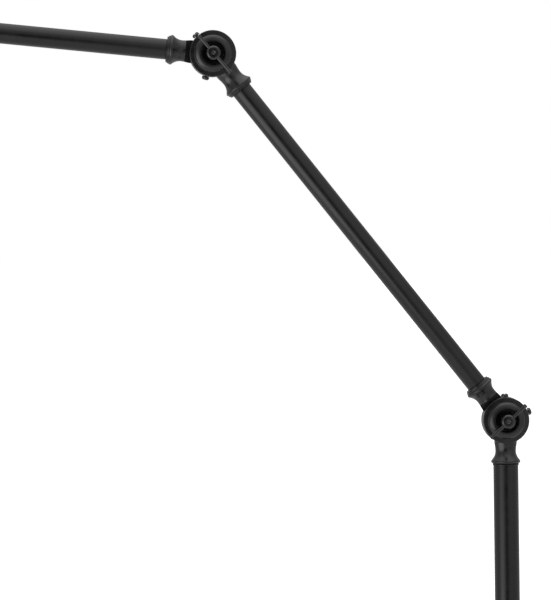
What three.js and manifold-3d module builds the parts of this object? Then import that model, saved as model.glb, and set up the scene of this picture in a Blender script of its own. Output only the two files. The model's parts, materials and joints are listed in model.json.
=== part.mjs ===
// Adjustable arm floor lamp: a weighted round base, an upright column, two
// straight arms and a tilting shade, joined by three lapped disc knuckles that
// are each clamped by a screw with a sliding tommy bar.
//
// Millimetres, +Z up. The arms swing in the plane Y = 0, so every knuckle axis
// runs along Y. The clamp screws face -Y. Directions in that plane are angles
// in degrees from +X towards +Z.

import * as THREE from 'three';
import { mergeVertices } from 'three/addons/utils/BufferGeometryUtils.js';
import Module from 'manifold-3d';

const wasm = await Module();
wasm.setup();

// ---------------------------------------------------------------- dimensions

const GAP = 0.3;

const COLUMN = { radius: 16, bore: 14, bottom: 40.3 };
const ARM = { radius: 13, bore: 11.5 };

const LOWER_PIVOT = { x: 0, z: 1000 };
const MIDDLE_LENGTH = 600;
const UPPER_LENGTH = 450;
const MIDDLE_ANGLE = 127.9;
const UPPER_ANGLE = 173.8;
const HEAD_ANGLE = 262;

// Knuckle: distances along the axis are counted from the middle plane.
const DISC = {
  radius: 29.7,
  face: 0.6,
  rim: 13,
  domeFoot: 23.4,
  domeCrest: 22.4,
  domeMouth: 14.8,
  chamber: 4.5,
  pocketFloor: 9,
  backBoss: 16,
  shankHole: 5.3,
};
const SHOULDER = 35;
const THROAT_NARROWING = 0.87;
const WIRE_BORE = { neck: 4, disc: 2.6, level: 5.9 };
const SCREW = { hub: 8.75, shank: 4.85, seat: 11.6, front: 40, barLevel: 35.8, bevel: 1.8 };
const BAR = { radius: 2, nub: 2.7, half: 31 };
const NUT = { circumradius: 9.47, seat: 8, height: 7.2 };
const SIDE_SCREW = { level: 6.8, shank: 2, head: 4.75, seat: 30, top: 34.4 };

// Turned necks: how far the two kinds of neck reach from the pivot.
const ARM_NECK = { waist: 13.4, bead: 19, spigot: 11.2, spigotEnd: 80 };
const COLUMN_NECK = { waist: 13.2, bead: 18.85, spigot: 13.7, spigotEnd: 80 };
const HEAD_NECK = { waist: 13.4, bead: 19, spigot: 11.2, spigotEnd: 76 };
const NECK_ROOT = 14.6;
const NECK_END = 55.3;
const ARM_TUBE_START = 59.2;
const COLUMN_TUBE_START = 58;

const BASE = { radius: 160, pad: 156, padHeight: 3, top: 27.5, recess: 34, recessTop: 14 };
const SOCKET = { foot: 27.8, flange: 42, body: 22, top: 70, inletHeight: 51, grubHeight: 63 };

// Head: distances along the head axis from its pivot.
const CUP = { radius: 29, wall: 1.3, end: 128 };
const SHADE = { top: 128.3, end: 226, mouth: 115, wall: 1.2 };
const KNOB = { level: 90, radius: 8, inner: 31.9, outer: 44 };

const SEGMENTS = { disc: 24, neck: 18, small: 10, wide: 32 };

const FINISHES = {
  coat: { color: 0x161616, roughness: 0.55, metalness: 0.0 },
  ironCoat: { color: 0x141414, roughness: 0.62, metalness: 0.0 },
  blackSteel: { color: 0x1c1c1c, roughness: 0.42, metalness: 0.6 },
  zinc: { color: 0x9a9a98, roughness: 0.4, metalness: 1.0 },
  brass: { color: 0xb08d4a, roughness: 0.35, metalness: 1.0 },
  fibre: { color: 0x2a2622, roughness: 0.85, metalness: 0.0 },
  felt: { color: 0x1a1a1b, roughness: 0.95, metalness: 0.0 },
  rubber: { color: 0x121212, roughness: 0.8, metalness: 0.0 },
  ceramic: { color: 0xe8e4da, roughness: 0.35, metalness: 0.0 },
  opal: { color: 0xf6f2e8, roughness: 0.25, metalness: 0.0 },
  plastic: { color: 0x101010, roughness: 0.45, metalness: 0.0 },
};

// ------------------------------------------------------------------- helpers

const radians = THREE.MathUtils.degToRad;

/** A closed body from a three.js geometry, ready to be joined and cut. */
function solid(geometry) {
  const bare = geometry.clone();
  bare.deleteAttribute('normal');
  bare.deleteAttribute('uv');
  const merged = mergeVertices(bare, 1e-4);
  const position = merged.attributes.position;
  const corner = [new THREE.Vector3(), new THREE.Vector3(), new THREE.Vector3()];
  const triangles = [];
  let volume = 0;
  for (let i = 0; i < merged.index.count; i += 3) {
    const ids = [0, 1, 2].map((k) => merged.index.getX(i + k));
    if (new Set(ids).size < 3) continue;
    ids.forEach((id, k) => corner[k].fromBufferAttribute(position, id));
    volume += corner[0].dot(corner[1].clone().cross(corner[2]));
    triangles.push(ids);
  }
  if (volume < 0) triangles.forEach((ids) => ids.reverse());
  return new wasm.Manifold(new wasm.Mesh({
    numProp: 3,
    vertProperties: Float32Array.from(position.array),
    triVerts: Uint32Array.from(triangles.flat()),
  }));
}

/** Adds a finished body to a group as a named mesh. */
function addPiece(group, name, body, finish) {
  const mesh = body.getMesh();
  const geometry = new THREE.BufferGeometry();
  geometry.setAttribute('position', new THREE.BufferAttribute(mesh.vertProperties, 3));
  geometry.setIndex(new THREE.BufferAttribute(mesh.triVerts, 1));
  geometry.computeVertexNormals();
  const piece = new THREE.Mesh(geometry, new THREE.MeshStandardMaterial(FINISHES[finish]));
  piece.name = name;
  group.add(piece);
  return piece;
}

/** Spins a profile of [radius, height] pairs about +Z. */
function turned(profile, segments = SEGMENTS.neck) {
  const points = profile.map(([radius, height]) => new THREE.Vector2(radius, height));
  return new THREE.LatheGeometry(points, segments).rotateX(Math.PI / 2);
}

/** Spins a closed outline that stays clear of the axis. */
function ring(profile, segments) {
  return turned([...profile, profile[0]], segments);
}

/** A plain ring between two radii and two heights. */
function plainRing(inner, outer, low, high, segments = SEGMENTS.neck) {
  return ring([[inner, low], [outer, low], [outer, high], [inner, high]], segments);
}

/** A round bar along +Z. */
function bar(radius, low, high, segments = SEGMENTS.small) {
  return turned([[0, low], [radius, low], [radius, high], [0, high]], segments);
}

/** A hexagonal bar along +Z, given by its corner radius. */
function hexBar(circumradius, low, high) {
  return bar(circumradius, low, high, 6);
}

/** Points of a path, as [radius, height] pairs. */
function traced(path, divisions) {
  return path.getPoints(divisions).map((point) => [point.x, point.y]);
}

/** Turns local +Z to a direction in the plane of the arms. */
function aimed(geometry, angle) {
  return geometry.rotateY(Math.PI / 2 - radians(angle));
}

/** Turns local +Z to -Y (side -1, the clamp screw side) or +Y (side 1). */
function across(geometry, side) {
  return geometry.rotateX(-side * Math.PI / 2);
}

function pointAt(start, angle, distance) {
  return {
    x: start.x + distance * Math.cos(radians(angle)),
    z: start.z + distance * Math.sin(radians(angle)),
  };
}

function groupAt(name, pivot) {
  const group = new THREE.Group();
  group.name = name;
  group.position.set(pivot.x, 0, pivot.z);
  return group;
}

// ------------------------------------------------------------------ knuckles

/** Flat rim, then a bold rounded ring around a deep pocket for the screw hub. */
function nearDiscProfile() {
  const outline = new THREE.Path();
  outline.moveTo(12, DISC.face);
  outline.lineTo(29.2, DISC.face);
  outline.lineTo(DISC.radius, DISC.face + 0.5);
  outline.lineTo(DISC.radius, DISC.rim - 1);
  outline.lineTo(DISC.radius - 1, DISC.rim);
  outline.lineTo(DISC.domeFoot, DISC.rim);
  outline.lineTo(DISC.domeFoot, DISC.domeCrest - 3.9);
  outline.quadraticCurveTo(
    DISC.domeFoot - 1.9, DISC.domeCrest - 0.5,
    DISC.domeMouth + 1.2, DISC.domeCrest,
  );
  outline.lineTo(DISC.domeMouth, DISC.domeCrest - 1.4);
  outline.lineTo(DISC.domeMouth, DISC.pocketFloor);
  outline.lineTo(DISC.shankHole, DISC.pocketFloor);
  outline.lineTo(DISC.shankHole, DISC.chamber);
  outline.lineTo(12, DISC.chamber);
  return traced(outline, 3);
}

/** Plain back with a low boss that holds the nut. */
function farDiscProfile() {
  return [
    [12, DISC.face],
    [29.2, DISC.face],
    [DISC.radius, DISC.face + 0.5],
    [DISC.radius, DISC.rim - 1],
    [DISC.radius - 1, DISC.rim],
    [21, DISC.rim],
    [19, DISC.backBoss],
    [DISC.shankHole, DISC.backBoss],
    [DISC.shankHole, DISC.chamber],
    [12, DISC.chamber],
  ];
}

/** Waisted neck that flares to a bead and ends in a spigot for the tube. */
function neckProfile({ waist, bead, spigot, spigotEnd }) {
  const outline = new THREE.Path();
  outline.moveTo(0, 20);
  outline.lineTo(NECK_ROOT, 20);
  outline.lineTo(NECK_ROOT, 29.2);
  outline.quadraticCurveTo(waist, 32.5, waist, 39.5);
  outline.bezierCurveTo(waist, 45.5, bead - 2.9, 48.4, bead - 0.45, 51.4);
  outline.quadraticCurveTo(bead + 0.5, 52.6, bead - 0.25, 53.7);
  outline.lineTo(bead - 1.25, NECK_END);
  outline.lineTo(spigot, NECK_END);
  outline.lineTo(spigot, spigotEnd);
  outline.lineTo(0, spigotEnd);
  return traced(outline, 3);
}

/** Narrows a neck across the knuckle, so that it sits behind the disc's rim. */
function narrowThroat(geometry) {
  const position = geometry.attributes.position;
  for (let i = 0; i < position.count; i += 1) {
    const fullness = THREE.MathUtils.smoothstep(position.getZ(i), 36, 48);
    position.setY(i, position.getY(i) * THREE.MathUtils.lerp(THROAT_NARROWING, 1, fullness));
  }
  return geometry;
}

/** One half of a knuckle: disc, neck with its lap shoulder, and wire passage. */
function knuckleHalf(side, neckAngle, screwAngle, neck) {
  const profile = side < 0 ? nearDiscProfile() : farDiscProfile();
  const disc = solid(across(ring(profile, SEGMENTS.disc), side));
  const lap = new THREE.BoxGeometry(60, 40, 2 * SHOULDER);
  lap.translate(0, -side * (20 - DISC.face), 0);
  const fullStem = solid(aimed(narrowThroat(turned(neckProfile(neck))), neckAngle));
  const stem = fullStem.subtract(solid(aimed(lap, neckAngle)));
  const neckWay = solid(aimed(bar(WIRE_BORE.neck, SHOULDER + 1, 90), neckAngle));
  const discWay = solid(aimed(
    bar(WIRE_BORE.disc, 10.4, SHOULDER + 6).translate(0, side * WIRE_BORE.level, 0),
    neckAngle,
  ));
  const tapping = bar(SIDE_SCREW.shank + GAP, 20.5, 32).translate(0, side * SIDE_SCREW.level, 0);
  const half = disc.add(stem).subtract(neckWay).subtract(discWay)
    .subtract(solid(aimed(tapping, screwAngle)));
  if (side < 0) return half;
  const nutPocket = hexBar(NUT.circumradius + GAP / Math.cos(Math.PI / 6), NUT.seat, 20);
  return half.subtract(solid(across(nutPocket, side)));
}

/** Slotted pan-head screw set radially into the wall of a disc. */
function sideScrew(side, angle, proud = 0) {
  const seat = SIDE_SCREW.seat + proud;
  const top = SIDE_SCREW.top + proud;
  const screw = solid(aimed(turned([
    [0, 21.2 + proud],
    [SIDE_SCREW.shank, 21.2 + proud],
    [SIDE_SCREW.shank, seat],
    [SIDE_SCREW.head, seat],
    [SIDE_SCREW.head, seat + 2.4],
    [SIDE_SCREW.head - 0.9, top - 0.5],
    [SIDE_SCREW.head - 2.2, top],
    [0, top],
  ], 12).translate(0, side * SIDE_SCREW.level, 0), angle));
  const slot = side < 0 ? new THREE.BoxGeometry(1.3, 12, 3) : new THREE.BoxGeometry(12, 1.3, 3);
  slot.translate(0, side * SIDE_SCREW.level, top);
  return screw.subtract(solid(aimed(slot, angle)));
}

/** Clamp screw: long round hub, cross-drilled for the bar, on a plain shank. */
function clampScrew(barAngle) {
  const screw = solid(across(turned([
    [0, -16.4],
    [4, -16.4],
    [SCREW.shank, -15.6],
    [SCREW.shank, SCREW.seat],
    [SCREW.hub, SCREW.seat],
    [SCREW.hub, SCREW.front - SCREW.bevel + 0.4],
    [SCREW.hub - SCREW.bevel, SCREW.front],
    [1.6, SCREW.front],
    [0, SCREW.front - 1],
  ]), -1));
  const drilling = bar(BAR.radius + GAP, -12, 12);
  return screw.subtract(solid(aimed(drilling, barAngle).translate(0, -SCREW.barLevel, 0)));
}

/** Tommy bar with a small collar at each end. */
function tommyBar(angle, slid) {
  const profile = [
    [0, -BAR.half],
    [BAR.nub - 0.5, -BAR.half],
    [BAR.nub, -BAR.half + 0.5],
    [BAR.nub, -BAR.half + 2.2],
    [BAR.radius, -BAR.half + 2.8],
    [BAR.radius, BAR.half - 2.8],
    [BAR.nub, BAR.half - 2.2],
    [BAR.nub, BAR.half - 0.5],
    [BAR.nub - 0.5, BAR.half],
    [0, BAR.half],
  ];
  const body = turned(profile, SEGMENTS.small).translate(0, 0, slid);
  return solid(aimed(body, angle).translate(0, -SCREW.barLevel, 0));
}

/** A complete knuckle; the near half is on the clamp screw side. */
function knuckle(name, pivot, { near, far, barAngle, barSlid }) {
  const group = groupAt(`${name}_knuckle`, pivot);
  addPiece(group, `${name}_near_half`, knuckleHalf(-1, near.angle, near.screw, near.neck), 'coat');
  addPiece(group, `${name}_far_half`, knuckleHalf(1, far.angle, far.screw, far.neck), 'coat');
  addPiece(group, `${name}_near_side_screw`, sideScrew(-1, near.screw), 'blackSteel');
  addPiece(group, `${name}_far_side_screw`, sideScrew(1, far.screw, far.screwProud), 'blackSteel');
  const frictionWasher = plainRing(13, 27, -0.3, 0.3, SEGMENTS.disc);
  addPiece(group, `${name}_friction_washer`, solid(across(frictionWasher, -1)), 'fibre');
  const clampWasher = plainRing(5.2, 11, DISC.pocketFloor + GAP, SCREW.seat - GAP);
  addPiece(group, `${name}_clamp_washer`, solid(across(clampWasher, -1)), 'blackSteel');
  addPiece(group, `${name}_clamp_screw`, clampScrew(barAngle), 'blackSteel');
  addPiece(group, `${name}_tommy_bar`, tommyBar(barAngle, barSlid), 'blackSteel');
  const nutBody = solid(across(hexBar(NUT.circumradius, NUT.seat + GAP, NUT.seat + GAP + NUT.height), 1));
  const nutHole = solid(across(bar(SCREW.shank + GAP, 0, 20, SEGMENTS.neck), 1));
  addPiece(group, `${name}_clamp_nut`, nutBody.subtract(nutHole), 'blackSteel');
  return group;
}

/** Stepped collar between an arm neck and its tube. */
function armCollar(angle) {
  return solid(aimed(ring([
    [ARM.bore, NECK_END + GAP],
    [17.4, NECK_END + GAP],
    [17.4, 57.1],
    [16.4, 57.4],
    [16.4, ARM_TUBE_START - GAP],
    [ARM.bore, ARM_TUBE_START - GAP],
  ]), angle));
}

/** Straight arm tube between two pivots, in the frame of the first pivot. */
function armTube(angle, length) {
  return solid(aimed(plainRing(ARM.bore, ARM.radius, ARM_TUBE_START, length - ARM_TUBE_START), angle));
}

// ---------------------------------------------------------------------- base

function base() {
  const group = new THREE.Group();
  group.name = 'base';

  addPiece(group, 'floor_pad', solid(bar(BASE.pad, 0, BASE.padHeight, SEGMENTS.wide)), 'felt');

  const bottom = BASE.padHeight + GAP;
  const outline = new THREE.Path();
  outline.moveTo(BASE.recess, bottom);
  outline.lineTo(BASE.radius - 3, bottom);
  outline.lineTo(BASE.radius, bottom + 3);
  outline.lineTo(BASE.radius, 14.5);
  outline.quadraticCurveTo(BASE.radius, 19, BASE.radius - 5, 19.4);
  outline.lineTo(141, 20);
  outline.quadraticCurveTo(138, 20.2, 136, 22);
  outline.lineTo(60, 27);
  outline.lineTo(46, BASE.top);
  outline.lineTo(7, BASE.top);
  outline.lineTo(7, BASE.recessTop);
  outline.lineTo(BASE.recess, BASE.recessTop);
  addPiece(group, 'base_weight', solid(ring(traced(outline, 2), SEGMENTS.wide)), 'ironCoat');

  addPiece(group, 'base_washer', solid(plainRing(6.5, 18, 11.2, 13.7)), 'zinc');
  const head = solid(hexBar(10.9, 3.8, 10.9));
  addPiece(group, 'base_bolt', head.add(solid(bar(6, 8, 39, SEGMENTS.neck))), 'zinc');

  const socket = new THREE.Path();
  socket.moveTo(6.3, SOCKET.foot);
  socket.lineTo(SOCKET.flange, SOCKET.foot);
  socket.lineTo(SOCKET.flange, SOCKET.foot + 3);
  socket.quadraticCurveTo(25, 32, SOCKET.body, 41);
  socket.lineTo(SOCKET.body, 60);
  socket.quadraticCurveTo(24.6, 60.4, 24.4, 63);
  socket.quadraticCurveTo(24.2, 65.4, 20.5, 66);
  socket.lineTo(18.5, SOCKET.top);
  socket.lineTo(COLUMN.radius + GAP, SOCKET.top);
  socket.lineTo(COLUMN.radius + GAP, COLUMN.bottom - GAP);
  socket.lineTo(6.3, COLUMN.bottom - GAP);
  const inlet = solid(across(bar(6, 5, 40, 16), 1).translate(0, 0, SOCKET.inletHeight));
  const grubHole = solid(bar(3.2, 14, 30).rotateY(Math.PI / 2).translate(0, 0, SOCKET.grubHeight));
  const body = solid(ring(traced(socket, 2), SEGMENTS.neck)).subtract(inlet).subtract(grubHole);
  addPiece(group, 'base_socket', body, 'coat');

  const grub = solid(bar(2.9, COLUMN.radius + GAP, 22.6).rotateY(Math.PI / 2));
  const drive = solid(hexBar(1.7, 20, 30).rotateY(Math.PI / 2));
  const grubScrew = addPiece(group, 'socket_grub_screw', grub.subtract(drive), 'blackSteel');
  grubScrew.position.z = SOCKET.grubHeight;

  const grommet = addPiece(group, 'cable_grommet', solid(across(ring([
    [3.6, 12.6],
    [5.7, 12.6],
    [5.7, SOCKET.body + GAP],
    [8.4, SOCKET.body + GAP],
    [8.4, SOCKET.body + 2],
    [6.6, SOCKET.body + 3.4],
    [3.6, SOCKET.body + 3.4],
  ], 16), 1)), 'rubber');
  grommet.position.z = SOCKET.inletHeight;

  const top = LOWER_PIVOT.z - COLUMN_TUBE_START;
  const tube = solid(plainRing(COLUMN.bore, COLUMN.radius, COLUMN.bottom, top, SEGMENTS.disc));
  addPiece(group, 'column_tube', tube.subtract(inlet), 'coat');

  const collar = solid(aimed(ring([
    [COLUMN.bore, NECK_END + GAP],
    [17.1, NECK_END + GAP],
    [17.1, 56.5],
    [16.6, 56.7],
    [16.6, COLUMN_TUBE_START - GAP],
    [COLUMN.bore, COLUMN_TUBE_START - GAP],
  ]), -90));
  addPiece(group, 'column_collar', collar, 'coat').position.z = LOWER_PIVOT.z;
  return group;
}

// ---------------------------------------------------------------------- head

/** A thin turned wall: the curve is its outside, offset inwards by the wall. */
function thinWall(curve, divisions, wall) {
  const outside = [];
  const inside = [];
  for (let i = 0; i <= divisions; i += 1) {
    const point = curve.getPoint(i / divisions);
    const tangent = curve.getTangent(i / divisions);
    outside.push([point.x, point.y]);
    inside.unshift([point.x - tangent.y * wall, point.y + tangent.x * wall]);
  }
  return { outside, inside };
}

function head(pivot, angle) {
  const group = groupAt('head', pivot);
  const place = (geometry) => solid(aimed(geometry, angle));

  addPiece(group, 'head_collar', armCollar(angle), 'coat');

  const inner = CUP.radius - CUP.wall;
  const cup = place(ring([
    [ARM.bore, ARM_TUBE_START],
    [ARM.radius, ARM_TUBE_START],
    [ARM.radius, 65],
    [15, 66.4],
    [22, 68.6],
    [27, 73],
    [CUP.radius, 79],
    [CUP.radius, CUP.end],
    [inner, CUP.end],
    [inner, 79.5],
    [26, 74.2],
    [21.2, 70],
    [ARM.bore, 70],
  ], SEGMENTS.disc));
  const bushHole = place(across(bar(5, 20, 40, 16), -1).translate(0, 0, KNOB.level));
  addPiece(group, 'holder_cup', cup.subtract(bushHole), 'coat');

  const cupNut = place(hexBar(17, 70.3, 74.3)).subtract(place(bar(ARM.bore, 60, 90, SEGMENTS.neck)));
  addPiece(group, 'cup_nut', cupNut, 'zinc');

  addPiece(group, 'holder_nipple', place(plainRing(2.4, 3.7, 60, 106, SEGMENTS.small)), 'brass');

  addPiece(group, 'lamp_holder', place(ring([
    [4, 99],
    [9, 99],
    [9, 102],
    [18, 102.4],
    [19.5, 104],
    [19.5, 144],
    [14.2, 144],
    [14.2, 112],
    [4, 112],
  ])), 'ceramic');

  const bell = new THREE.CubicBezierCurve(
    new THREE.Vector2(30.5, SHADE.top),
    new THREE.Vector2(74, SHADE.top + 3),
    new THREE.Vector2(104, 158),
    new THREE.Vector2(SHADE.mouth - 2, SHADE.end - 4),
  );
  const { outside, inside } = thinWall(bell, 6, SHADE.wall);
  const shade = place(ring([
    [20.2, SHADE.top],
    ...outside,
    [SHADE.mouth, SHADE.end - 3],
    [SHADE.mouth, SHADE.end - 1],
    [SHADE.mouth - 1, SHADE.end],
    [SHADE.mouth - 3, SHADE.end],
    ...inside,
    [20.2, SHADE.top + SHADE.wall],
  ], SEGMENTS.wide));
  addPiece(group, 'shade', shade, 'coat');

  const ringLow = SHADE.top + SHADE.wall + GAP;
  addPiece(group, 'shade_ring', place(plainRing(19.8, 25, ringLow, ringLow + 4.5)), 'plastic');

  addPiece(group, 'bulb_cap', place(ring([
    [9, 117],
    [13.2, 118.5],
    [13.2, 141],
    [12.2, 141],
    [12.2, 119.5],
    [9, 119.5],
  ])), 'brass');
  addPiece(group, 'bulb_contact', place(turned([[0, 113.5], [4.5, 114.3], [8.6, 118], [8.6, 119.4], [0, 119.4]])), 'zinc');

  const glass = new THREE.Path();
  glass.moveTo(11, 136);
  glass.lineTo(11.9, 136);
  glass.lineTo(11.9, 141.3);
  glass.lineTo(13.2, 141.3);
  glass.bezierCurveTo(13.4, 160, 29.8, 165, 29.8, 188);
  glass.bezierCurveTo(29.8, 205, 17, 218, 0, 218);
  const glassInside = new THREE.Path();
  glassInside.moveTo(0, 217);
  glassInside.bezierCurveTo(16, 217, 28.8, 204, 28.8, 188);
  glassInside.bezierCurveTo(28.8, 166, 12.4, 160, 12.2, 143);
  glassInside.lineTo(11, 142.4);
  glassInside.lineTo(11, 136);
  addPiece(group, 'bulb_glass', place(turned([...traced(glass, 4), ...traced(glassInside, 3)])), 'opal');

  const atKnob = (geometry) => place(across(geometry, -1).translate(0, 0, KNOB.level));
  const switchBody = atKnob(ring([
    [GAP + 3, 20],
    [GAP + 3, 31.5],
    [4.7, 31.5],
    [4.7, 26.2],
    [7.5, 26.2],
    [7.5, 10],
    [1, 10],
    [1, 20],
  ], 16));
  addPiece(group, 'switch_body', switchBody, 'plastic');

  let knob = atKnob(turned([
    [0, 20.3],
    [3, 20.3],
    [3, KNOB.inner],
    [KNOB.radius, KNOB.inner],
    [KNOB.radius, KNOB.outer - 1.5],
    [KNOB.radius - 1.5, KNOB.outer],
    [0, KNOB.outer],
  ]));
  for (let i = 0; i < 8; i += 1) {
    const flute = bar(1.6, KNOB.inner + 3, KNOB.outer + 2, 8).translate(KNOB.radius + 0.9, 0, 0);
    knob = knob.subtract(atKnob(flute.rotateZ(i * Math.PI / 4)));
  }
  const pointer = new THREE.BoxGeometry(1, 7, 1.6).translate(0, 4, KNOB.outer);
  addPiece(group, 'switch_knob', knob.subtract(atKnob(pointer)), 'plastic');
  return group;
}

// ------------------------------------------------------------------ assembly

const upperPivot = pointAt(LOWER_PIVOT, MIDDLE_ANGLE, MIDDLE_LENGTH);
const headPivot = pointAt(upperPivot, UPPER_ANGLE, UPPER_LENGTH);

const lamp = new THREE.Group();
lamp.name = 'adjustable_arm_floor_lamp';
lamp.add(base());

lamp.add(knuckle('lower', LOWER_PIVOT, {
  near: { angle: -90, screw: 92, neck: COLUMN_NECK },
  far: { angle: MIDDLE_ANGLE, screw: 18, screwProud: 1.6, neck: ARM_NECK },
  barAngle: 42,
  barSlid: 0,
}));
lamp.add(knuckle('upper', upperPivot, {
  near: { angle: MIDDLE_ANGLE + 180, screw: 132, neck: ARM_NECK },
  far: { angle: UPPER_ANGLE, screw: 253, neck: ARM_NECK },
  barAngle: 310,
  barSlid: 2.3,
}));
lamp.add(knuckle('head', headPivot, {
  near: { angle: UPPER_ANGLE + 180, screw: 183, neck: ARM_NECK },
  far: { angle: HEAD_ANGLE, screw: HEAD_ANGLE - 108, neck: HEAD_NECK },
  barAngle: 62,
  barSlid: -1.5,
}));

const middleArm = groupAt('middle_arm', LOWER_PIVOT);
addPiece(middleArm, 'middle_lower_collar', armCollar(MIDDLE_ANGLE), 'coat');
addPiece(middleArm, 'middle_tube', armTube(MIDDLE_ANGLE, MIDDLE_LENGTH), 'coat');
lamp.add(middleArm);

const middleEnd = groupAt('middle_arm_end', upperPivot);
addPiece(middleEnd, 'middle_upper_collar', armCollar(MIDDLE_ANGLE + 180), 'coat');
lamp.add(middleEnd);

const upperArm = groupAt('upper_arm', upperPivot);
addPiece(upperArm, 'upper_inner_collar', armCollar(UPPER_ANGLE), 'coat');
addPiece(upperArm, 'upper_tube', armTube(UPPER_ANGLE, UPPER_LENGTH), 'coat');
lamp.add(upperArm);

const upperEnd = groupAt('upper_arm_end', headPivot);
addPiece(upperEnd, 'upper_outer_collar', armCollar(UPPER_ANGLE + 180), 'coat');
lamp.add(upperEnd);

lamp.add(head(headPivot, HEAD_ANGLE));

export default lamp;
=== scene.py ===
"""Adjustable arm floor lamp: the visible pieces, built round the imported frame.

Shapes are written in millimetres and placed in metres. Directions in the plane
of the arms (XZ) are angles in degrees from +X towards +Z.
"""
import json
import math

import bmesh
import bpy
from mathutils import Matrix, Vector


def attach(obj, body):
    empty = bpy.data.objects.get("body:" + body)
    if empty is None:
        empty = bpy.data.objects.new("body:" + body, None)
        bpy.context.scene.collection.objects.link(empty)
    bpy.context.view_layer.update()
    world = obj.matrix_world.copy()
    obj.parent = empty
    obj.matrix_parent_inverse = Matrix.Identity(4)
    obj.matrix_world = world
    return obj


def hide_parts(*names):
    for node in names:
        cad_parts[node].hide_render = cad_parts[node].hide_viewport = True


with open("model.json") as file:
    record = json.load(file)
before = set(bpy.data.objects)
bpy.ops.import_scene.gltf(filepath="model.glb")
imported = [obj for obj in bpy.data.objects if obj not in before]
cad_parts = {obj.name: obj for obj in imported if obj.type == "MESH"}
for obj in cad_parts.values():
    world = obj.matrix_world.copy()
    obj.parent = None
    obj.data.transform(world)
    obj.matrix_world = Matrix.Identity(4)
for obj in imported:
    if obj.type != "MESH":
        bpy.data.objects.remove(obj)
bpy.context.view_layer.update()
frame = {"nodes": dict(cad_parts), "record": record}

MM = 0.001
RECORD = frame["record"]
JOINTS = {joint["name"]: joint for joint in RECORD["behaviour"]["joints"]}
BODY_OF = {
    node: body
    for body, nodes in RECORD["behaviour"]["bodies"].items()
    for node in nodes
}
SLOT_OF = {part["node"]: part["material_slot"] for part in RECORD["subparts"]}


# ------------------------------------------------------------------ placement

def turn_of(dx, dz):
    """The angle of a direction in the plane of the arms."""
    return math.degrees(math.atan2(dz, dx))


LOWER = Vector(JOINTS["lower_knuckle"]["pos_m"])
UPPER = Vector(JOINTS["upper_knuckle"]["pos_m"])
HEAD = Vector(JOINTS["head_knuckle"]["pos_m"])
KNOB = Vector(JOINTS["switch_turn"]["pos_m"])

MIDDLE_ANGLE = turn_of(UPPER.x - LOWER.x, UPPER.z - LOWER.z)
UPPER_ANGLE = turn_of(HEAD.x - UPPER.x, HEAD.z - UPPER.z)
HEAD_ANGLE = turn_of(KNOB.x - HEAD.x, KNOB.z - HEAD.z)
MIDDLE_LENGTH = (UPPER - LOWER).length / MM
UPPER_LENGTH = (HEAD - UPPER).length / MM


def at(point):
    return Matrix.Translation(point)


def aim(angle):
    """Turns local +Z to a direction in the plane of the arms."""
    return Matrix.Rotation(math.radians(90 - angle), 4, "Y")


def across(side):
    """Turns local +Z to -Y (side -1, the clamp screw side) or +Y (side 1)."""
    return Matrix.Rotation(-side * math.pi / 2, 4, "X")


def shift(x=0.0, y=0.0, z=0.0):
    """A move in millimetres."""
    return Matrix.Translation((x * MM, y * MM, z * MM))


# --------------------------------------------------------------------- meshes

def softened(points, radius, closed, steps=3):
    """Rounds the corners of a [radius, height] outline; a third number on a
    point is that corner's own rounding."""
    count = len(points)
    result = []
    for i, point in enumerate(points):
        own = point[2] if len(point) > 2 else radius
        here = Vector(point[:2])
        if not closed and i in (0, count - 1) or own <= 0:
            result.append(here)
            continue
        before = Vector(points[i - 1][:2]) - here
        after = Vector(points[(i + 1) % count][:2]) - here
        if before.length < 1e-6 or after.length < 1e-6 or before.angle(after) > math.radians(172):
            result.append(here)
            continue
        start = here + before.normalized() * min(own, 0.45 * before.length)
        end = here + after.normalized() * min(own, 0.45 * after.length)
        for k in range(steps + 1):
            t = k / steps
            result.append(start * (1 - t) ** 2 + here * 2 * t * (1 - t) + end * t * t)
    return result


def spun(points, segments=64, closed=False, rounding=0.3, reshape=None):
    """A mesh turned about local +Z from an outline in millimetres; reshape may
    move each of its points."""
    outline = softened(points, rounding, closed)
    mesh = bmesh.new()
    rings = []
    for point in outline:
        if point.x < 1e-6:
            rings.append([mesh.verts.new((0, 0, point.y * MM))])
            continue
        around = []
        for k in range(segments):
            angle = 2 * math.pi * k / segments
            place = Vector((point.x * math.cos(angle), point.x * math.sin(angle), point.y))
            if reshape:
                place = reshape(place)
            around.append(mesh.verts.new(place * MM))
        rings.append(around)
    pairs = list(zip(rings, rings[1:]))
    if closed:
        pairs.append((rings[-1], rings[0]))
    for low, high in pairs:
        if len(low) == 1 and len(high) == 1:
            continue
        for k in range(segments):
            after = (k + 1) % segments
            if len(low) == 1:
                mesh.faces.new((low[0], high[after], high[k]))
            elif len(high) == 1:
                mesh.faces.new((low[k], low[after], high[0]))
            else:
                mesh.faces.new((low[k], low[after], high[after], high[k]))
    bmesh.ops.recalc_face_normals(mesh, faces=mesh.faces)
    if mesh.calc_volume(signed=True) < 0:
        bmesh.ops.reverse_faces(mesh, faces=mesh.faces)
    return mesh


def block(x, y, z):
    """A plain cutting block of full sizes x, y, z in millimetres."""
    mesh = bmesh.new()
    bmesh.ops.create_cube(mesh, size=1.0)
    bmesh.ops.scale(mesh, vec=(x * MM, y * MM, z * MM), verts=mesh.verts)
    return mesh


def rod(radius, low, high, segments=32):
    return spun([(0, low), (radius, low), (radius, high), (0, high)], segments, rounding=0)


def hex_rod(circumradius, low, high):
    return rod(circumradius, low, high, 6)


def loose(mesh, matrix, name="tool"):
    """A bmesh as an object in the scene, placed by its vertices."""
    mesh.transform(matrix)
    data = bpy.data.meshes.new(name)
    mesh.to_mesh(data)
    mesh.free()
    obj = bpy.data.objects.new(name, data)
    bpy.context.scene.collection.objects.link(obj)
    return obj


def discard(obj):
    data = obj.data
    bpy.data.objects.remove(obj)
    bpy.data.meshes.remove(data)


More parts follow.
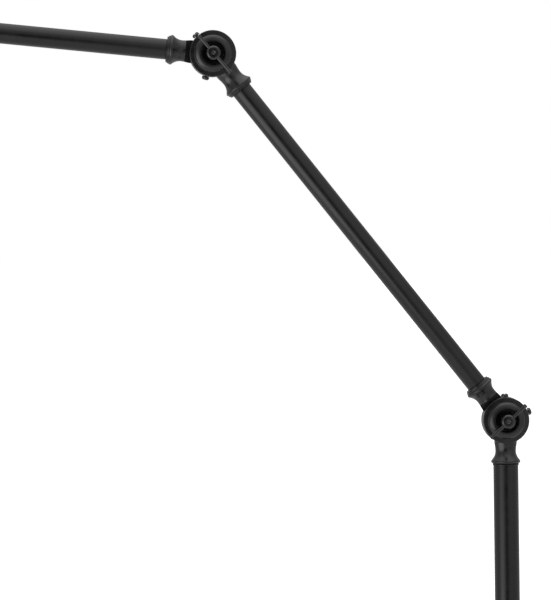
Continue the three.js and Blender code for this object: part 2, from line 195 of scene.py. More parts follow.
def settled(obj):
    """Writes an object's modifiers into its mesh."""
    graph = bpy.context.evaluated_depsgraph_get()
    data = bpy.data.meshes.new_from_object(obj.evaluated_get(graph))
    old = obj.data
    obj.modifiers.clear()
    obj.data = data
    bpy.data.meshes.remove(old)


def worked(base, *steps):
    """Joins (+), cuts away (-) or keeps the overlap (&) of a base object with
    each tool in turn."""
    for sign, tool in steps:
        modifier = base.modifiers.new("work", "BOOLEAN")
        modifier.operation = {"+": "UNION", "-": "DIFFERENCE", "&": "INTERSECT"}[sign]
        modifier.solver = "EXACT"
        modifier.object = tool
        settled(base)
        discard(tool)
    return base


def eased(obj, width=0.3, angle=38, segments=2):
    """Breaks the sharp edges that cutting leaves."""
    modifier = obj.modifiers.new("ease", "BEVEL")
    modifier.width = width * MM
    modifier.segments = segments
    modifier.limit_method = "ANGLE"
    modifier.angle_limit = math.radians(angle)
    modifier.use_clamp_overlap = True
    settled(obj)
    return obj


def finished(obj, node, sharp=35, look=None):
    """Smooths, names, colours and rides a piece that stands for a CAD node; look
    names a material other than its slot's."""
    obj.name = f"{node}_form"
    obj.data.name = obj.name
    obj.data.polygons.foreach_set("use_smooth", [True] * len(obj.data.polygons))
    obj.data.set_sharp_from_angle(angle=math.radians(sharp))
    obj.data.materials.clear()
    obj.data.materials.append(MATERIALS[look or SLOT_OF[node]])
    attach(obj, BODY_OF[node])
    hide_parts(node)
    return obj


def turned_piece(node, matrix, points, segments=64, closed=False, rounding=0.3):
    return finished(loose(spun(points, segments, closed, rounding), matrix), node)


def ring_outline(inner, outer, low, high):
    return [(inner, low), (outer, low), (outer, high), (inner, high)]


# ------------------------------------------------------------------ materials

def shader(name):
    material = bpy.data.materials.new(name)
    material.use_nodes = True
    nodes = material.node_tree.nodes
    return material, nodes, material.node_tree.links, nodes["Principled BSDF"]


def noise(nodes, links, coords, scale, detail=2.0, roughness=0.5):
    node = nodes.new("ShaderNodeTexNoise")
    node.inputs["Scale"].default_value = scale
    node.inputs["Detail"].default_value = detail
    node.inputs["Roughness"].default_value = roughness
    links.new(coords, node.inputs["Vector"])
    return node.outputs["Fac"]


def ranged(nodes, links, value, low, high, source=(0.3, 0.7)):
    node = nodes.new("ShaderNodeMapRange")
    node.inputs["From Min"].default_value, node.inputs["From Max"].default_value = source
    node.inputs["To Min"].default_value, node.inputs["To Max"].default_value = low, high
    links.new(value, node.inputs["Value"])
    return node.outputs["Result"]


def two_tone(nodes, links, value, dark, light, source=(0.3, 0.7)):
    node = nodes.new("ShaderNodeValToRGB")
    node.color_ramp.elements[0].position, node.color_ramp.elements[1].position = source
    node.color_ramp.elements[0].color = (*dark, 1)
    node.color_ramp.elements[1].color = (*light, 1)
    links.new(value, node.inputs["Fac"])
    return node.outputs["Color"]


def bumped(nodes, links, principled, height, distance, strength=1.0, under=None):
    node = nodes.new("ShaderNodeBump")
    node.inputs["Strength"].default_value = strength
    node.inputs["Distance"].default_value = distance
    links.new(height, node.inputs["Height"])
    if under:
        links.new(under, node.inputs["Normal"])
    links.new(node.outputs["Normal"], principled.inputs["Normal"])
    return node.outputs["Normal"]


def surface(name, dark, light, rough, metallic=0.0, grain=1400.0, relief=0.00006,
            mottle=60.0, peel=420.0, peel_relief=0.00005, specular=0.5):
    """A sprayed, moulded or plated surface: broad mottling in colour and gloss,
    a soft orange peel and a fine grain."""
    material, nodes, links, principled = shader(name)
    coords = nodes.new("ShaderNodeTexCoord").outputs["Object"]
    broad = noise(nodes, links, coords, mottle, 3.0, 0.55)
    fine = noise(nodes, links, coords, grain, 2.0, 0.6)
    soft = noise(nodes, links, coords, peel, 2.0, 0.5)
    mix = nodes.new("ShaderNodeMath")
    mix.operation = "MULTIPLY_ADD"
    mix.inputs[1].default_value = 0.5
    links.new(fine, mix.inputs[0])
    half = nodes.new("ShaderNodeMath")
    half.operation = "MULTIPLY"
    half.inputs[1].default_value = 0.5
    links.new(broad, half.inputs[0])
    links.new(half.outputs[0], mix.inputs[2])
    links.new(two_tone(nodes, links, mix.outputs[0], dark, light, (0.36, 0.64)),
              principled.inputs["Base Color"])
    links.new(ranged(nodes, links, broad, rough[0], rough[1]), principled.inputs["Roughness"])
    principled.inputs["Metallic"].default_value = metallic
    principled.inputs["Specular IOR Level"].default_value = specular
    under = bumped(nodes, links, principled, soft, peel_relief)
    bumped(nodes, links, principled, fine, relief, under=under)
    return material


def opal_glass():
    material = surface("opal_glass", (0.80, 0.785, 0.75), (0.86, 0.85, 0.82), (0.22, 0.3),
                       grain=900, relief=0.00001, peel=60, peel_relief=0.00002)
    principled = material.node_tree.nodes["Principled BSDF"]
    principled.inputs["Subsurface Weight"].default_value = 0.25
    principled.inputs["Subsurface Radius"].default_value = (0.004, 0.004, 0.004)
    return material


def felt():
    material, nodes, links, principled = shader("felt")
    coords = nodes.new("ShaderNodeTexCoord").outputs["Object"]
    fibres = nodes.new("ShaderNodeTexVoronoi")
    fibres.inputs["Scale"].default_value = 900
    links.new(coords, fibres.inputs["Vector"])
    tufts = noise(nodes, links, coords, 300, 4.0, 0.7)
    links.new(two_tone(nodes, links, tufts, (0.018, 0.018, 0.02), (0.045, 0.045, 0.048)),
              principled.inputs["Base Color"])
    principled.inputs["Roughness"].default_value = 0.95
    principled.inputs["Sheen Weight"].default_value = 0.4
    under = bumped(nodes, links, principled, fibres.outputs["Distance"], 0.0002)
    bumped(nodes, links, principled, tufts, 0.0002, under=under)
    return material


MATERIALS = {
    "powder_coat": surface(
        "powder_coat", (0.0055, 0.0056, 0.006), (0.010, 0.010, 0.0105), (0.23, 0.31),
        grain=900, relief=0.00002, peel=330, peel_relief=0.00004),
    "cast_coat": surface(
        "cast_coat", (0.0045, 0.0045, 0.005), (0.010, 0.010, 0.0105), (0.20, 0.28),
        grain=560, relief=0.000035, peel=210, peel_relief=0.00006, mottle=140, specular=0.66),
    # The washer's own finish is dark, but this near-black, dull surface is also painted shade that makes
    # the screw pocket read black.
    "washer_pocket_shade": surface(
        "washer_pocket_shade", (0.003, 0.003, 0.003), (0.006, 0.006, 0.006), (0.55, 0.7),
        grain=1500, relief=0.00002, mottle=200, specular=0.12),
    "base_coat": surface(
        "base_coat", (0.007, 0.007, 0.0075), (0.014, 0.014, 0.0145), (0.36, 0.48),
        grain=800, relief=0.0001, peel=240, peel_relief=0.00012, mottle=25),
    "black_steel": surface(
        "black_steel", (0.005, 0.005, 0.0055), (0.012, 0.012, 0.0125), (0.13, 0.24),
        grain=1600, relief=0.00001, peel=500, peel_relief=0.00003, mottle=150, specular=0.8),
    "zinc_steel": surface(
        "zinc_steel", (0.42, 0.42, 0.41), (0.60, 0.60, 0.58), (0.28, 0.42), metallic=1.0,
        grain=2200, relief=0.00002, mottle=220),
    "brass": surface(
        "brass", (0.55, 0.40, 0.18), (0.72, 0.55, 0.28), (0.22, 0.36), metallic=1.0,
        grain=2000, relief=0.00002, mottle=200),
    "fibre": surface(
        "fibre", (0.03, 0.025, 0.02), (0.06, 0.05, 0.042), (0.75, 0.9),
        grain=1500, relief=0.00008, mottle=300),
    "felt": felt(),
    "rubber": surface(
        "rubber", (0.012, 0.012, 0.012), (0.022, 0.022, 0.022), (0.6, 0.8),
        grain=1800, relief=0.00004, mottle=120),
    "ceramic": surface(
        "ceramic", (0.72, 0.70, 0.65), (0.82, 0.80, 0.76), (0.16, 0.26),
        grain=700, relief=0.00001, peel=90, peel_relief=0.00004, mottle=35),
    "opal": opal_glass(),
    "black_plastic": surface(
        "black_plastic", (0.010, 0.010, 0.010), (0.018, 0.017, 0.016), (0.24, 0.34),
        grain=1500, relief=0.00002, mottle=90),
}

for node, piece in frame["nodes"].items():
    for place in piece.material_slots:
        place.material = MATERIALS[SLOT_OF[node]]


# ------------------------------------------------------------------- knuckles

FACE = 0.6
RIM = 13.0
DISC_RADIUS = 29.7
DOME_FOOT = 23.4
SHOULDER = 35.0
THROAT = 0.87
HUB_FRONT = 40.0
BAR_LEVEL = 35.8
SCREW_LEVEL = 6.8


def near_disc():
    """Flat rim, then a stout domed ring round the deep pocket of the screw hub."""
    outline = [(12, FACE, 0.2), (DISC_RADIUS, FACE, 0.5), (DISC_RADIUS, RIM, 1.1),
               (DOME_FOOT, RIM, 0.5)]
    foot, bend, crest = Vector((DOME_FOOT, 18.5)), Vector((21.5, 21.9)), Vector((16.0, 22.4))
    for step in range(13):
        t = step / 12
        place = foot * (1 - t) ** 2 + bend * 2 * t * (1 - t) + crest * t * t
        outline.append((place.x, place.y, 0))
    outline += [
        (14.8, 22.2, 0.9), (14.8, 5.3, 0.8), (11.6, 5.3, 0.5), (11.6, 9, 0.2), (5.3, 9, 0.2),
        (5.3, 4.5, 0.2), (12, 4.5, 0.3),
    ]
    return outline


def far_disc():
    """Plain back with a low boss that holds the nut."""
    return [
        (12, FACE, 0.2), (DISC_RADIUS, FACE, 0.5), (DISC_RADIUS, RIM, 1.1), (21.2, RIM, 0.9),
        (19.2, 16, 0.9), (5.3, 16, 0.2), (5.3, 4.5, 0.2), (12, 4.5, 0.3),
    ]


def neck_outline(slim, bead, end, spigot, spigot_end):
    """Waisted neck that flares to a bead and ends in a spigot for the tube."""
    flare = [
        (28.6, 14.6), (30.2, 14.5), (32.5, 14.1), (35.5, 13.65), (38.5, 13.42), (41, 13.42),
        (43.2, 13.75), (45.3, 14.4), (47.4, 15.35), (49.4, 16.75), (51, 18.05), (52, 18.75),
        (52.8, 19.0), (53.6, 18.9), (54.3, 18.5), (54.9, 18.1),
    ]
    ease = lambda s: slim * max(0.0, 1 - abs(s - 39.5) / 14)
    outline = [(0, 20, 0), (14.6, 20, 0)]
    outline += [(r - ease(s) + (bead - 19) * (s > 50), s, 0) for s, r in flare]
    outline += [(end, 55.3, 0.2), (spigot, 55.3, 0.2), (spigot, spigot_end, 0.4), (0, spigot_end, 0)]
    return outline


def narrowed(place):
    fullness = min(1.0, max(0.0, (place.z - 36) / 12))
    fullness = fullness * fullness * (3 - 2 * fullness)
    place.y *= THROAT + (1 - THROAT) * fullness
    return place


ARM_NECK = dict(slim=0.0, bead=19.0, end=17.8, spigot=11.2, spigot_end=80)
COLUMN_NECK = dict(slim=0.2, bead=18.85, end=16.0, spigot=13.7, spigot_end=80)
HEAD_NECK = dict(slim=0.0, bead=19.0, end=17.8, spigot=11.2, spigot_end=76)


def casting(node, pivot, side, neck_angle, screw_angle, neck):
    """One half of a knuckle: disc, neck with its lap shoulder, wire passage."""
    here = at(pivot)
    to_neck = here @ aim(neck_angle)
    disc = loose(spun(near_disc() if side < 0 else far_disc(), 96, closed=True), here @ across(side))
    stem = loose(spun(neck_outline(**neck), 72, reshape=narrowed), to_neck)
    lap = loose(block(60, 40, 2 * SHOULDER), to_neck @ shift(y=-side * (20 - FACE)))
    stem = worked(stem, ("-", lap))
    neck_way = loose(rod(4, SHOULDER + 1, 90), to_neck)
    disc_way = loose(rod(2.6, 10.4, SHOULDER + 6), to_neck @ shift(y=side * 5.9))
    tapping = loose(rod(2.3, 20.5, 32), here @ shift(y=side * SCREW_LEVEL) @ aim(screw_angle))
    body = worked(disc, ("+", stem), ("-", neck_way), ("-", disc_way), ("-", tapping))
    if side > 0:
        pocket = loose(hex_rod(9.82, 8, 20), here @ across(side))
        body = worked(body, ("-", pocket))
    return finished(eased(body, 0.35), node, sharp=40, look="cast_coat")


def side_screw(node, pivot, side, angle, proud=0.0):
    """Slotted pan head; the near ones show their slot end on, the far ones don't."""
    to_screw = at(pivot) @ shift(y=side * SCREW_LEVEL) @ aim(angle) @ shift(z=proud)
    screw = loose(spun([
        (0, 21.2), (2, 21.2), (2, 30, 0.1), (4.75, 30, 0.4), (4.75, 32.5, 0.9),
        (3.4, 34.2, 1.2), (0, 34.4),
    ], 40), to_screw)
    slot = loose(block(1.2, 12, 3) if side < 0 else block(12, 1.2, 3), to_screw @ shift(z=34.6))
    return finished(eased(worked(screw, ("-", slot)), 0.15), node)


def clamp_screw(node, pivot, bar_angle):
    screw = loose(spun([
        (0, -16.4), (4, -16.4, 0.2), (4.85, -15.6, 0.2), (4.85, 11.6, 0.1), (8.75, 11.6, 0.3),
        (8.75, HUB_FRONT - 1.5, 0.6), (7.0, HUB_FRONT - 0.1, 0.7), (2.4, HUB_FRONT, 0.4),
        (1.3, HUB_FRONT - 0.9, 0.4), (0, HUB_FRONT - 1.1),
    ], 64), at(pivot) @ across(-1))
    hole = loose(rod(2.3, -12, 12), at(pivot) @ shift(y=-BAR_LEVEL) @ aim(bar_angle))
    return finished(eased(worked(screw, ("-", hole)), 0.25), node)


def tommy_bar(node, pivot, angle, slid):
    half = [(0, 31), (2.2, 31, 0.5), (2.7, 30.2, 0.4), (2.7, 28.9, 0.4), (2.0, 28, 0.5)]
    outline = [(r, -s, *rest) for r, s, *rest in half] + half[::-1]
    place = at(pivot) @ shift(y=-BAR_LEVEL) @ aim(angle) @ shift(z=slid)
    return turned_piece(node, place, outline, 32)


def clamp_nut(node, pivot):
    nut = loose(hex_rod(9.47, 8.3, 15.5), at(pivot) @ across(1))
    crown = loose(spun([
        (0, 8.3), (8.5, 8.3, 0), (9.9, 9.1, 0), (9.9, 14.6, 0), (8.3, 15.5, 0), (0, 15.5),
    ], 64, rounding=0), at(pivot) @ across(1))
    bore = loose(rod(5.15, 0, 30), at(pivot) @ across(1))
    return finished(eased(worked(nut, ("&", crown), ("-", bore)), 0.15), node, sharp=30)


def bar_setting(name):
    """Direction of a tommy bar and how far it is slid, from its slide joint."""
    joint = JOINTS[f"{name}_bar_slide"]
    low, high = joint["range_m"]
    angle = turn_of(joint["axis"][0], joint["axis"][2])
    return angle, -(low + high) / 2 / MM


def knuckle(name, pivot, near, far):
    casting(f"{name}_near_half", pivot, -1, *near)
    casting(f"{name}_far_half", pivot, 1, *far)
    side_screw(f"{name}_near_side_screw", pivot, -1, near[1])
    side_screw(f"{name}_far_side_screw", pivot, 1, far[1], 1.6 if name == "lower" else 0.0)
    angle, slid = bar_setting(name)
    clamp_screw(f"{name}_clamp_screw", pivot, angle)
    tommy_bar(f"{name}_tommy_bar", pivot, angle, slid)
    clamp_nut(f"{name}_clamp_nut", pivot)
    turned_piece(f"{name}_friction_washer", at(pivot) @ across(-1),
                 ring_outline(13, 27, -0.3, 0.3), 96, True, 0.1)
    # This washer sits at the bottom of the hub pocket. Its near-black finish doubles as painted shade
    # for that pocket.
    washer = loose(spun(ring_outline(5.2, 11, 9.3, 11.3), 64, True, 0.3), at(pivot) @ across(-1))
    finished(washer, f"{name}_clamp_washer", look="washer_pocket_shade")


knuckle("lower", LOWER, (-90, 92, COLUMN_NECK), (MIDDLE_ANGLE, 18, ARM_NECK))
knuckle("upper", UPPER, (MIDDLE_ANGLE + 180, 132, ARM_NECK), (UPPER_ANGLE, 253, ARM_NECK))
knuckle("head", HEAD, (UPPER_ANGLE + 180, 183, ARM_NECK), (HEAD_ANGLE, HEAD_ANGLE - 108, HEAD_NECK))


# ---------------------------------------------------------- tubes and collars

TUBE_START = 59.2


def arm_collar(node, pivot, angle):
    turned_piece(node, at(pivot) @ aim(angle), [
        (11.5, 55.35, 0.1), (17.6, 55.35, 0.1), (17.8, 55.9, 0.2), (17.4, 57.1, 0.5),
        (16.5, 57.3, 0.1), (16.4, 58.9, 0.6), (14, 59.15, 0.1), (11.5, 59.15, 0.1),
    ], 72, True)


def arm_tube(node, pivot, angle, length):
    turned_piece(node, at(pivot) @ aim(angle),
                 ring_outline(11.5, 13, TUBE_START, length - TUBE_START), 72, True, 0.3)


arm_collar("middle_lower_collar", LOWER, MIDDLE_ANGLE)
arm_collar("middle_upper_collar", UPPER, MIDDLE_ANGLE + 180)
arm_collar("upper_inner_collar", UPPER, UPPER_ANGLE)
arm_collar("upper_outer_collar", HEAD, UPPER_ANGLE + 180)
arm_collar("head_collar", HEAD, HEAD_ANGLE)
arm_tube("middle_tube", LOWER, MIDDLE_ANGLE, MIDDLE_LENGTH)
arm_tube("upper_tube", UPPER, UPPER_ANGLE, UPPER_LENGTH)

turned_piece("column_collar", at(LOWER) @ aim(-90), [
    (14, 55.35, 0.1), (16.0, 55.35, 0.1), (17.1, 56.4, 0.3), (17.1, 56.9, 0.2), (16.5, 57.0, 0.05),
    (16.6, 57.95, 0.4), (14, 57.95, 0.1),
], 72, True)


# ------------------------------------------------------------------------ base

WORLD = Matrix.Identity(4)
INLET_HEIGHT = 51.0
GRUB_HEIGHT = 63.0

turned_piece("floor_pad", WORLD, [(0, 0), (156, 0, 0.5), (156, 3, 0.6), (0, 3)], 128)

turned_piece("base_weight", WORLD, [
    (34, 3.3, 0.5), (160, 3.3, 2.6), (160, 19.4, 4.6), (141, 20, 1.2), (136, 22.1, 1.6),
    (60, 27, 3), (46, 27.5, 0.4), (7, 27.5, 0.4), (7, 14, 0.4), (34, 14, 0.5),
], 160, True)


def inlet_cut():
    return loose(rod(6, 5, 40), shift(z=INLET_HEIGHT) @ across(1))


socket = loose(spun([
    (6.3, 27.8, 0.2), (42, 27.8, 0.5), (42, 30.8, 1.2), (31, 32.4, 3), (24, 36.5, 3),
    (22, 41.5, 2.5), (22, 60, 0.4), (24.3, 60.9, 1), (24.5, 63, 1.2), (24.1, 65.2, 1),
    (20.6, 66, 0.4), (19.6, 69, 1), (18.4, 70, 0.5), (16.3, 70, 0.3), (16.3, 40, 0.3), (6.3, 40, 0.2),
], 96, True), WORLD)
grub_cut = loose(rod(3.2, 14, 30), shift(z=GRUB_HEIGHT) @ aim(0))
finished(eased(worked(socket, ("-", inlet_cut()), ("-", grub_cut)), 0.3), "base_socket", sharp=40)

grub = loose(rod(2.9, 16.3, 22.6), shift(z=GRUB_HEIGHT) @ aim(0))
drive = loose(hex_rod(1.7, 20, 30), shift(z=GRUB_HEIGHT) @ aim(0))
finished(eased(worked(grub, ("-", drive)), 0.2), "socket_grub_screw")

turned_piece("cable_grommet", shift(z=INLET_HEIGHT) @ across(1), [
    (3.6, 12.6, 0.4), (5.7, 12.6, 0.4), (5.7, 22.3, 0.2), (8.4, 22.3, 0.3), (8.4, 24, 0.6),
    (6.6, 25.4, 0.7), (3.6, 25.4, 0.8),
], 48, True)

column_top = LOWER.z / MM - 58
tube = loose(spun(ring_outline(14, 16, 40.3, column_top), 96, True), WORLD)
finished(eased(worked(tube, ("-", inlet_cut())), 0.2), "column_tube", sharp=40)


# ------------------------------------------------------------------------ head

to_head = at(HEAD) @ aim(HEAD_ANGLE)
KNOB_LEVEL = 90.0
SHADE_TOP = 128.3
SHADE_END = 226.0
SHADE_MOUTH = 115.0
SHADE_WALL = 1.2


def knob_place():
    return to_head @ shift(z=KNOB_LEVEL) @ across(-1)


cup = loose(spun([
    (11.5, 59.2, 0.2), (13, 59.2, 0.3), (13, 64.6, 0.8), (15, 66.2, 1.2), (22, 68.7, 3),
    (27.2, 72.8, 3), (29, 79, 3), (29, 128, 0.4), (27.7, 128, 0.2), (27.7, 79.5, 3),
    (26, 74.2, 2), (21.2, 70.0, 1), (11.5, 70, 0.2),
], 96, True), to_head)
bush_cut = loose(rod(5, 20, 40), knob_place())
finished(eased(worked(cup, ("-", bush_cut)), 0.25), "holder_cup", sharp=40)

turned_piece("lamp_holder", to_head, [
    (4, 99, 0.3), (9, 99, 0.5), (9, 102, 0.3), (18, 102.4, 0.8), (19.5, 104, 0.8),
    (19.5, 144, 1.0), (14.2, 144, 1.0), (14.2, 112, 0.4), (4, 112, 0.4),
], 72, True)


def bezier(points, steps):
    a, b, c, d = (Vector(p) for p in points)
    for k in range(steps + 1):
        t = k / steps
        place = a * (1 - t) ** 3 + b * 3 * t * (1 - t) ** 2 + c * 3 * t * t * (1 - t) + d * t ** 3
        slope = (b - a) * (1 - t) ** 2 + (c - b) * 2 * t * (1 - t) + (d - c) * t * t
        yield place, slope.normalized()


BELL = [(30.5, SHADE_TOP), (74, SHADE_TOP + 3), (104, 158), (SHADE_MOUTH - 2, SHADE_END - 4)]


def shade_outlines():
    outside, inside = [], []
    for place, slope in bezier(BELL, 28):
        outside.append((place.x, place.y, 0))
        inside.append((place.x - slope.y * SHADE_WALL, place.y + slope.x * SHADE_WALL, 0))
    return outside, inside


outside, inside = shade_outlines()
lip = [
    (SHADE_MOUTH - 0.4, SHADE_END - 3.6, 0.4), (SHADE_MOUTH, SHADE_END - 2.2, 0.9),
    (SHADE_MOUTH - 0.5, SHADE_END - 0.2, 0.9), (SHADE_MOUTH - 2.4, SHADE_END, 0.7),
    (SHADE_MOUTH - 3.6, SHADE_END - 1.6, 0.6),
]
SHADE_SEGMENTS = 144
LINING_FACE, LINING_BACK = 0.35, 0.05
turned_piece("shade", to_head,
             [(20.2, SHADE_TOP, 0.2), *outside, *lip, *inside[::-1],
              (20.2, SHADE_TOP + SHADE_WALL, 0.2)], SHADE_SEGMENTS, True, 0)


def moved_in(points, distance):
    """Points of the inner face moved off it, square to the curve."""
    slopes = [slope for _, slope in bezier(BELL, 28)]
    return [(r - n.y * distance, s + n.x * distance, 0) for (r, s, _), n in zip(points, slopes)]


lining_skin = moved_in(inside, LINING_FACE)[2:]
lining_back = moved_in(inside, LINING_BACK)[2:][::-1]
lining = loose(spun(lining_skin + lining_back, SHADE_SEGMENTS, True, 0), to_head)
lining.name = "shade_lining"
lining.data.name = lining.name
lining.data.polygons.foreach_set("use_smooth", [True] * len(lining.data.polygons))
lining.data.set_sharp_from_angle(angle=math.radians(60))
lining.data.materials.append(MATERIALS["ceramic"])
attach(lining, BODY_OF["shade"])

ring_low = SHADE_TOP + SHADE_WALL + 0.3
turned_piece("shade_ring", to_head, [
    (19.8, ring_low, 0.3), (25, ring_low, 0.4), (25, ring_low + 1.2, 0.2), (24.2, ring_low + 1.5, 0.2),
    (24.2, ring_low + 3.2, 0.2), (25, ring_low + 3.5, 0.2), (25, ring_low + 4.5, 0.5),
    (19.8, ring_low + 4.5, 0.5),
], 96, True)

def bulb_outline():
    points = [(11, 136, 0), (11.9, 136, 0), (11.9, 141.3, 0.2), (13.2, 141.3, 0.3)]
    for arc in (
        [(13.2, 142), (13.4, 160), (29.8, 165), (29.8, 188)],
        [(29.8, 188), (29.8, 205), (17, 218), (0, 218)],
        [(0, 217), (16, 217), (28.8, 204), (28.8, 188)],
        [(28.8, 188), (28.8, 166), (12.4, 160), (12.2, 143)],
    ):
        steps = [(place.x, place.y, 0) for place, _ in bezier(arc, 12)]
        points += steps if steps[0] != points[-1] else steps[1:]
    return points + [(11, 142.4, 0)]


turned_piece("bulb_glass", to_head, bulb_outline(), 72, True, 0)


def cap_outline():
    """Screw cap of the bulb, with its rolled thread on both faces."""
    outer, inner = [], []
    for k in range(41):
        level = 120 + k * 0.5
        wave = 0.45 * math.cos(2 * math.pi * (level - 120) / 3.6)
        outer.append((12.75 + wave, level, 0))
        inner.append((11.75 + wave * 0.8, level, 0))
    return [(9, 117, 0.3), (12.6, 118.6, 0.4), *outer, *inner[::-1], (11.6, 119.4, 0.2), (9, 119.2, 0.2)]


turned_piece("bulb_cap", to_head, cap_outline(), 64, True, 0.2)
turned_piece("bulb_contact", to_head, [
    (0, 113.5), (4.5, 114.3, 1), (8.6, 118, 1), (8.6, 119, 0.3), (0, 119),
], 48)

turned_piece("holder_nipple", to_head, ring_outline(2.4, 3.7, 60, 106), 32, True, 0.3)
cup_nut = loose(hex_rod(17, 70.3, 74.3), to_head)
cup_nut_bore = loose(rod(11.5, 60, 90, 48), to_head)
finished(eased(worked(cup_nut, ("-", cup_nut_bore)), 0.3), "cup_nut", sharp=30)

turned_piece("switch_body", knob_place(), [
    (3.3, 20, 0.1), (3.3, 31.5, 0.2), (4.7, 31.5, 0.3), (4.7, 26.2, 0.1), (7.5, 26.2, 0.4),
    (7.5, 10, 0.5), (1, 10, 0.2), (1, 20, 0.1),
], 48, True)

knob = loose(spun([
    (0, 20.3), (3, 20.3, 0.2), (3, 31.9, 0.1), (8, 31.9, 0.4), (8, 42.6, 0.5), (6.6, 44, 0.9), (0, 44),
], 64), knob_place())
flutes = [("-", loose(rod(1.6, 34.9, 46, 24), knob_place() @ Matrix.Rotation(k * math.pi / 4, 4, "Z")
                      @ shift(x=8.9))) for k in range(8)]
pointer = loose(block(1, 7, 1.6), knob_place() @ shift(y=4, z=44))
finished(eased(worked(knob, *flutes, ("-", pointer)), 0.2), "switch_knob", sharp=40)

bolt = loose(hex_rod(10.9, 3.8, 10.9), WORLD)
shank = loose(rod(6, 8, 39, 48), WORLD)
finished(eased(worked(bolt, ("+", shank)), 0.4), "base_bolt", sharp=30)
turned_piece("base_washer", WORLD, ring_outline(6.5, 18, 11.2, 13.7), 64, True, 0.4)


# ------------------------------------------------------- floor, light, camera

def floor_surface(name):
    """A pale matt floor; gives back its material, nodes, links and shader."""
    made, nodes, links, floor_shader = shader(name)
    coords = nodes.new("ShaderNodeTexCoord").outputs["Object"]
    cloud = noise(nodes, links, coords, FLOOR_CLOUD)
    links.new(two_tone(nodes, links, cloud, FLOOR_DARK, FLOOR_LIGHT),
              floor_shader.inputs["Base Color"])
    floor_shader.inputs["Roughness"].default_value = FLOOR_ROUGHNESS
    return made, nodes, links, floor_shader


def floor_ring(name, inner, outer, made):
    """A flat ring of floor, in metres."""
    mesh = bmesh.new()
    rims = [[mesh.verts.new((r * math.cos(a), r * math.sin(a), FLOOR_LEVEL))
             for a in (2 * math.pi * k / FLOOR_SEGMENTS for k in range(FLOOR_SEGMENTS))]
            for r in (inner, outer)]
    for k in range(FLOOR_SEGMENTS):
        after = (k + 1) % FLOOR_SEGMENTS
        mesh.faces.new((rims[0][k], rims[1][k], rims[1][after], rims[0][after]))
    piece = loose(mesh, Matrix.Identity(4), name)
    piece.data.materials.append(made)
    return piece


# Level, and the radii where the near floor starts and ends, where the fade to
# white is complete and where the far floor ends, in metres.
FLOOR_LEVEL = -0.0005
FLOOR_CENTRE, FLOOR_NEAR, FLOOR_WHITE, FLOOR_FAR = 0.001, 2.1, 5.5, 60
FLOOR_SEGMENTS = 96
FLOOR_CLOUD, FLOOR_ROUGHNESS, FLOOR_GLOW = 3.0, 0.7, 0.6
FLOOR_DARK, FLOOR_LIGHT = (0.80, 0.80, 0.80), (0.82, 0.82, 0.82)

# The near floor lights the lamp. The far floor is only seen by the camera, and
# glows a little more with distance until it is the white of the studio.
floor_ring("floor", FLOOR_CENTRE, FLOOR_NEAR, floor_surface("pale_floor")[0])
far_made, far_nodes, far_links, far_shader = floor_surface("fading_floor")
far_distance = far_nodes.new("ShaderNodeVectorMath")
far_distance.operation = "LENGTH"
far_links.new(far_nodes.new("ShaderNodeTexCoord").outputs["Object"], far_distance.inputs[0])
far_fade = far_nodes.new("ShaderNodeMapRange")
far_fade.inputs["From Min"].default_value = FLOOR_NEAR
far_fade.inputs["From Max"].default_value = FLOOR_WHITE
far_fade.inputs["To Max"].default_value = FLOOR_GLOW
far_links.new(far_distance.outputs["Value"], far_fade.inputs["Value"])
far_links.new(far_fade.outputs["Result"], far_shader.inputs["Emission Strength"])
far_shader.inputs["Emission Color"].default_value = (1, 1, 1, 1)
far_floor = floor_ring("far_floor", FLOOR_NEAR, FLOOR_FAR, far_made)
far_floor.visible_diffuse = False
far_floor.visible_glossy = False
far_floor.visible_shadow = False


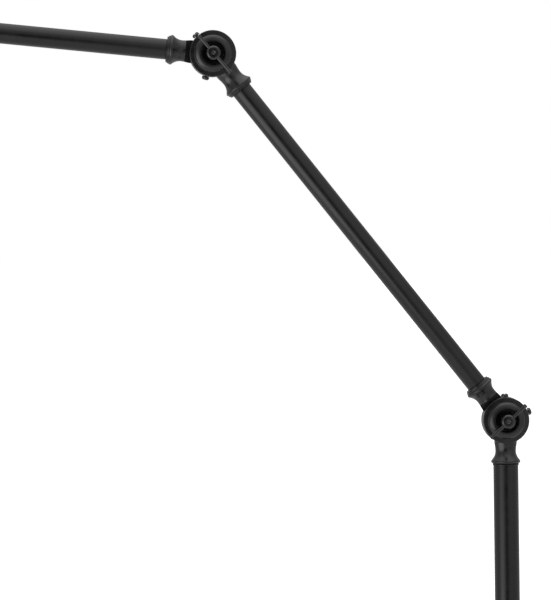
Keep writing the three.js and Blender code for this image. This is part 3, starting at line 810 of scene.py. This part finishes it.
def studio_world():
    """An even base light with soft bright areas and one darker area in front of
    the lamp, all fixed in the room; the camera itself sees plain white."""
    world = bpy.data.worlds.new("studio")
    bpy.context.scene.world = world
    world.use_nodes = True
    nodes, links = world.node_tree.nodes, world.node_tree.links
    nodes.clear()
    direction = nodes.new("ShaderNodeTexCoord").outputs["Generated"]

    def lobe(toward, edge, core):
        """1 within core degrees of a direction, falling to 0 at edge degrees."""
        dot = nodes.new("ShaderNodeVectorMath")
        dot.operation = "DOT_PRODUCT"
        dot.inputs[1].default_value = Vector(toward).normalized()
        links.new(direction, dot.inputs[0])
        fade = nodes.new("ShaderNodeMapRange")
        fade.interpolation_type = "SMOOTHSTEP"
        fade.inputs["From Min"].default_value = math.cos(math.radians(edge))
        fade.inputs["From Max"].default_value = math.cos(math.radians(core))
        links.new(dot.outputs["Value"], fade.inputs["Value"])
        return fade.outputs["Result"]

    def plus(total, value, weight):
        add = nodes.new("ShaderNodeMath")
        add.operation = "MULTIPLY_ADD"
        links.new(value, add.inputs[0])
        add.inputs[1].default_value = weight
        if total is None:
            add.inputs[2].default_value = BASE_LIGHT
        else:
            links.new(total, add.inputs[2])
        return add.outputs[0]

    total = None
    for toward, edge, core, weight in LIGHT_LOBES:
        total = plus(total, lobe(toward, edge, core), weight)
    spot = nodes.new("ShaderNodeMath")
    spot.operation = "MULTIPLY_ADD"
    links.new(lobe(*CAMERA_GAP[:3]), spot.inputs[0])
    spot.inputs[1].default_value = -CAMERA_GAP[3]
    spot.inputs[2].default_value = 1.0
    strength = nodes.new("ShaderNodeMath")
    strength.operation = "MULTIPLY"
    links.new(total, strength.inputs[0])
    links.new(spot.outputs[0], strength.inputs[1])
    lighting = nodes.new("ShaderNodeBackground")
    links.new(strength.outputs[0], lighting.inputs["Strength"])
    plain = nodes.new("ShaderNodeBackground")
    plain.inputs["Color"].default_value = (1, 1, 1, 1)
    seen = nodes.new("ShaderNodeLightPath").outputs["Is Camera Ray"]
    mix = nodes.new("ShaderNodeMixShader")
    links.new(seen, mix.inputs["Fac"])
    links.new(lighting.outputs[0], mix.inputs[1])
    links.new(plain.outputs[0], mix.inputs[2])
    output = nodes.new("ShaderNodeOutputWorld")
    links.new(mix.outputs[0], output.inputs["Surface"])


BASE_LIGHT = 0.58
# Direction, outer and inner angle in degrees, and strength: low front left,
# ceiling, floor side and high front right.
LIGHT_LOBES = [
    ((-0.70, -0.62, -0.36), 36, 8, 2.0),
    ((0.0, 0.0, 1.0), 58, 4, 1.1),
    ((0.0, 0.0, -1.0), 72, 45, 0.45),
    ((0.55, -0.65, 0.45), 34, 8, 0.25),
]
# Direction, outer and inner angle, and the share of light taken away there.
CAMERA_GAP = ((-0.09, -0.996, 0.03), 20, 9, 0.94)
studio_world()
bpy.context.scene.view_settings.view_transform = "Standard"

CAMERA_PLACE = Vector((-0.5261, -4.6003, 1.3015))
CAMERA_YAW, CAMERA_PITCH, CAMERA_ROLL = -2.903, -1.778, 0.815
LENS = 216.51

camera_data = bpy.data.cameras.new("camera")
camera_data.lens = LENS
camera_data.sensor_width = 36
camera_data.clip_end = 100
camera = bpy.data.objects.new("camera", camera_data)
bpy.context.scene.collection.objects.link(camera)
camera.matrix_world = (
    Matrix.Translation(CAMERA_PLACE)
    @ Matrix.Rotation(math.radians(CAMERA_YAW), 4, "Z")
    @ Matrix.Rotation(math.radians(CAMERA_PITCH), 4, "X")
    @ Matrix.Rotation(math.radians(CAMERA_ROLL), 4, "Y")
    @ Matrix.Rotation(math.pi / 2, 4, "X")
)
bpy.context.scene.camera = camera
